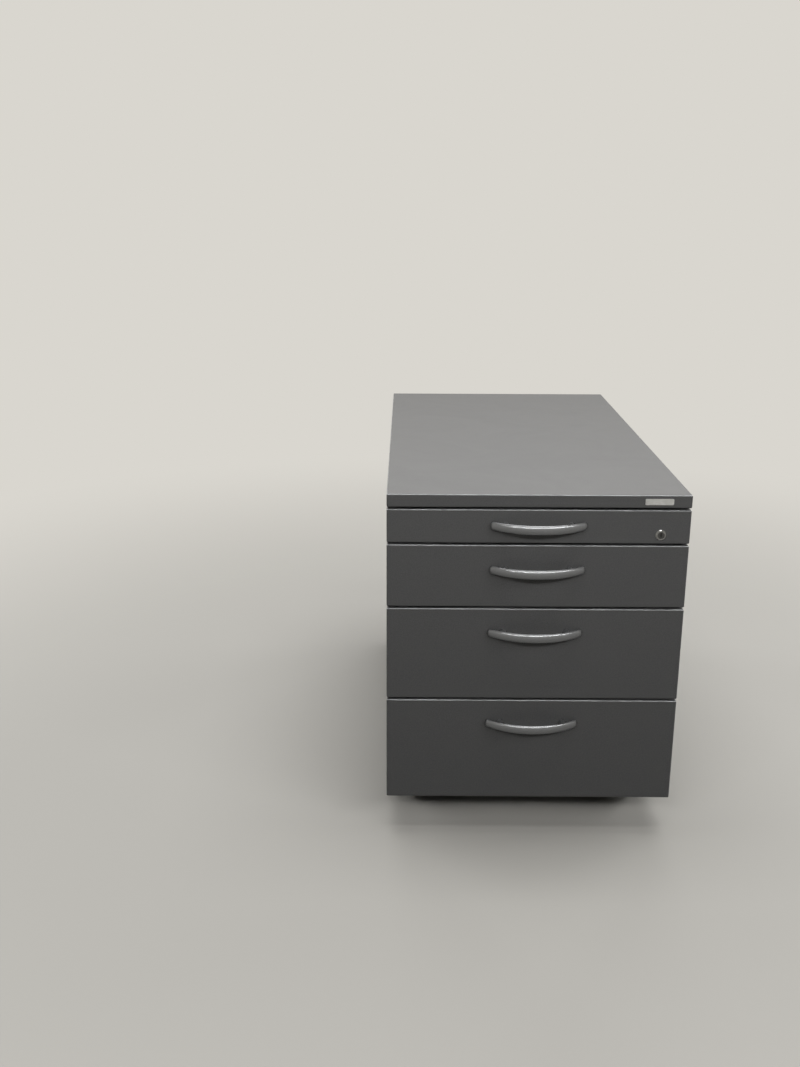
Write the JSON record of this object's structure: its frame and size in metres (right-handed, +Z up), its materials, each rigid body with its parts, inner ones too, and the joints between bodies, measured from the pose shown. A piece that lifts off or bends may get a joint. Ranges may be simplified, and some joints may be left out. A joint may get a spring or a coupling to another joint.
{
  "type": "rolling drawer cabinet",
  "caption": "Low office pedestal on castors: dark melamine body with a thin pencil drawer and deeper drawers below it on full-extension slides, bow handles and a central lock.",
  "frame": {"origin": "on the floor under the middle of the overall box, handles included", "axes": "+Z up, the drawer fronts face -Y and the drawers open towards -Y, +X is to the right seen from the front"},
  "size_m": [0.43, 0.83, 0.54],
  "materials": {
    "melamine": "anthracite melamine on chipboard, satin",
    "beech": "plain beech",
    "zinc_steel": "zinc plated",
    "bar_aluminium": "drawn, plain",
    "badge_metal": "brushed, blank",
    "grey_rubber": "matt",
    "lock_nickel": "polished nickel",
    "tray_plastic": "moulded black plastic",
    "handle_metal": "satin nickel on cast metal",
    "drawer_paint": "black powder coat",
    "glide_nylon": "natural nylon",
    "castor_plastic": "black nylon",
    "wheel_plastic": "black nylon"
  },
  "bodies": {
    "carcase": {"top_panel": "melamine", "side_panel_left": "melamine", "side_panel_right": "melamine", "base_panel": "melamine", "back_panel": "melamine", "carcase_dowels": "beech", "carcase_screws": "zinc_steel", "badge_plate": "badge_metal", "front_bumpers": "grey_rubber", "slide_outer_rails": "zinc_steel", "castor_plates": "zinc_steel"},
    "lock_bar": {"lock_bar": "bar_aluminium"},
    "lock_plug": {"lock_plug": "lock_nickel"},
    "lock_bolt": {"lock_bolt": "zinc_steel"},
    "drawer_1": {"drawer_1_front": "melamine", "drawer_1_handle": "handle_metal", "drawer_1_screws": "zinc_steel", "drawer_1_inner_rails": "zinc_steel", "drawer_1_tray": "tray_plastic", "lock_case": "lock_nickel"},
    "slide_1": {"drawer_1_middle_rails": "zinc_steel", "drawer_1_glides": "glide_nylon"},
    "drawer_2": {"drawer_2_front": "melamine", "drawer_2_handle": "handle_metal", "drawer_2_screws": "zinc_steel", "drawer_2_inner_rails": "zinc_steel", "drawer_2_box": "drawer_paint"},
    "slide_2": {"drawer_2_middle_rails": "zinc_steel", "drawer_2_glides": "glide_nylon"},
    "drawer_3": {"drawer_3_front": "melamine", "drawer_3_handle": "handle_metal", "drawer_3_screws": "zinc_steel", "drawer_3_inner_rails": "zinc_steel", "drawer_3_box": "drawer_paint"},
    "slide_3": {"drawer_3_middle_rails": "zinc_steel", "drawer_3_glides": "glide_nylon"},
    "drawer_4": {"drawer_4_front": "melamine", "drawer_4_handle": "handle_metal", "drawer_4_screws": "zinc_steel", "drawer_4_inner_rails": "zinc_steel", "drawer_4_box": "drawer_paint"},
    "slide_4": {"drawer_4_middle_rails": "zinc_steel", "drawer_4_glides": "glide_nylon"},
    "castor_front_left": {"castor_front_left_hood": "castor_plastic", "castor_front_left_axle": "zinc_steel"},
    "castor_front_left_wheel_left": {"castor_front_left_wheel_left": "wheel_plastic"},
    "castor_front_left_wheel_right": {"castor_front_left_wheel_right": "wheel_plastic"},
    "castor_rear_left": {"castor_rear_left_hood": "castor_plastic", "castor_rear_left_axle": "zinc_steel"},
    "castor_rear_left_wheel_left": {"castor_rear_left_wheel_left": "wheel_plastic"},
    "castor_rear_left_wheel_right": {"castor_rear_left_wheel_right": "wheel_plastic"},
    "castor_front_right": {"castor_front_right_hood": "castor_plastic", "castor_front_right_axle": "zinc_steel"},
    "castor_front_right_wheel_left": {"castor_front_right_wheel_left": "wheel_plastic"},
    "castor_front_right_wheel_right": {"castor_front_right_wheel_right": "wheel_plastic"},
    "castor_rear_right": {"castor_rear_right_hood": "castor_plastic", "castor_rear_right_axle": "zinc_steel"},
    "castor_rear_right_wheel_left": {"castor_rear_right_wheel_left": "wheel_plastic"},
    "castor_rear_right_wheel_right": {"castor_rear_right_wheel_right": "wheel_plastic"}
  },
  "joints": [
    {"name": "drawer_1_pull", "type": "slide", "parent": "carcase", "child": "drawer_1", "axis": [0, -1, 0], "range_m": [0, 0.6]},
    {"name": "slide_1_extend", "type": "slide", "parent": "carcase", "child": "slide_1", "axis": [0, -1, 0], "range_m": [0, 0.3]},
    {"name": "drawer_2_pull", "type": "slide", "parent": "carcase", "child": "drawer_2", "axis": [0, -1, 0], "range_m": [0, 0.6]},
    {"name": "slide_2_extend", "type": "slide", "parent": "carcase", "child": "slide_2", "axis": [0, -1, 0], "range_m": [0, 0.3]},
    {"name": "drawer_3_pull", "type": "slide", "parent": "carcase", "child": "drawer_3", "axis": [0, -1, 0], "range_m": [0, 0.6]},
    {"name": "slide_3_extend", "type": "slide", "parent": "carcase", "child": "slide_3", "axis": [0, -1, 0], "range_m": [0, 0.3]},
    {"name": "drawer_4_pull", "type": "slide", "parent": "carcase", "child": "drawer_4", "axis": [0, -1, 0], "range_m": [0, 0.6]},
    {"name": "slide_4_extend", "type": "slide", "parent": "carcase", "child": "slide_4", "axis": [0, -1, 0], "range_m": [0, 0.3]},
    {"name": "lock_turn", "type": "hinge", "parent": "drawer_1", "child": "lock_plug", "pos_m": [0.1735, -0.385, 0.4815], "axis": [0, 1, 0], "range_deg": [0, 90]},
    {"name": "lock_bolt_throw", "type": "slide", "parent": "drawer_1", "child": "lock_bolt", "axis": [1, 0, 0], "range_m": [0, 0.01273]},
    {"name": "lock_bar_lift", "type": "slide", "parent": "carcase", "child": "lock_bar", "axis": [0, 0, 1], "range_m": [0, 0.0078]},
    {"name": "castor_front_left_swivel", "type": "hinge", "parent": "carcase", "child": "castor_front_left", "pos_m": [-0.16, -0.28, 0.0602], "axis": [0, 0, 1], "continuous": true},
    {"name": "castor_front_left_wheel_left_roll", "type": "hinge", "parent": "castor_front_left", "child": "castor_front_left_wheel_left", "pos_m": [-0.16, -0.258, 0.025], "axis": [1, 0, 0], "continuous": true},
    {"name": "castor_front_left_wheel_right_roll", "type": "hinge", "parent": "castor_front_left", "child": "castor_front_left_wheel_right", "pos_m": [-0.16, -0.258, 0.025], "axis": [1, 0, 0], "continuous": true},
    {"name": "castor_rear_left_swivel", "type": "hinge", "parent": "carcase", "child": "castor_rear_left", "pos_m": [-0.16, 0.345, 0.0602], "axis": [0, 0, 1], "continuous": true},
    {"name": "castor_rear_left_wheel_left_roll", "type": "hinge", "parent": "castor_rear_left", "child": "castor_rear_left_wheel_left", "pos_m": [-0.16, 0.367, 0.025], "axis": [1, 0, 0], "continuous": true},
    {"name": "castor_rear_left_wheel_right_roll", "type": "hinge", "parent": "castor_rear_left", "child": "castor_rear_left_wheel_right", "pos_m": [-0.16, 0.367, 0.025], "axis": [1, 0, 0], "continuous": true},
    {"name": "castor_front_right_swivel", "type": "hinge", "parent": "carcase", "child": "castor_front_right", "pos_m": [0.16, -0.28, 0.0602], "axis": [0, 0, 1], "continuous": true},
    {"name": "castor_front_right_wheel_left_roll", "type": "hinge", "parent": "castor_front_right", "child": "castor_front_right_wheel_left", "pos_m": [0.16, -0.258, 0.025], "axis": [1, 0, 0], "continuous": true},
    {"name": "castor_front_right_wheel_right_roll", "type": "hinge", "parent": "castor_front_right", "child": "castor_front_right_wheel_right", "pos_m": [0.16, -0.258, 0.025], "axis": [1, 0, 0], "continuous": true},
    {"name": "castor_rear_right_swivel", "type": "hinge", "parent": "carcase", "child": "castor_rear_right", "pos_m": [0.16, 0.345, 0.0602], "axis": [0, 0, 1], "continuous": true},
    {"name": "castor_rear_right_wheel_left_roll", "type": "hinge", "parent": "castor_rear_right", "child": "castor_rear_right_wheel_left", "pos_m": [0.16, 0.367, 0.025], "axis": [1, 0, 0], "continuous": true},
    {"name": "castor_rear_right_wheel_right_roll", "type": "hinge", "parent": "castor_rear_right", "child": "castor_rear_right_wheel_right", "pos_m": [0.16, 0.367, 0.025], "axis": [1, 0, 0], "continuous": true}
  ],
  "couplings": [
    {"joint": "slide_1_extend", "follows": "drawer_1_pull", "ratio": 0.5},
    {"joint": "slide_2_extend", "follows": "drawer_2_pull", "ratio": 0.5},
    {"joint": "slide_3_extend", "follows": "drawer_3_pull", "ratio": 0.5},
    {"joint": "slide_4_extend", "follows": "drawer_4_pull", "ratio": 0.5},
    {"joint": "lock_bolt_throw", "follows": "lock_turn", "m_per_rad": 0.0081028},
    {"joint": "lock_bar_lift", "follows": "lock_turn", "m_per_rad": 0.0049656}
  ]
}
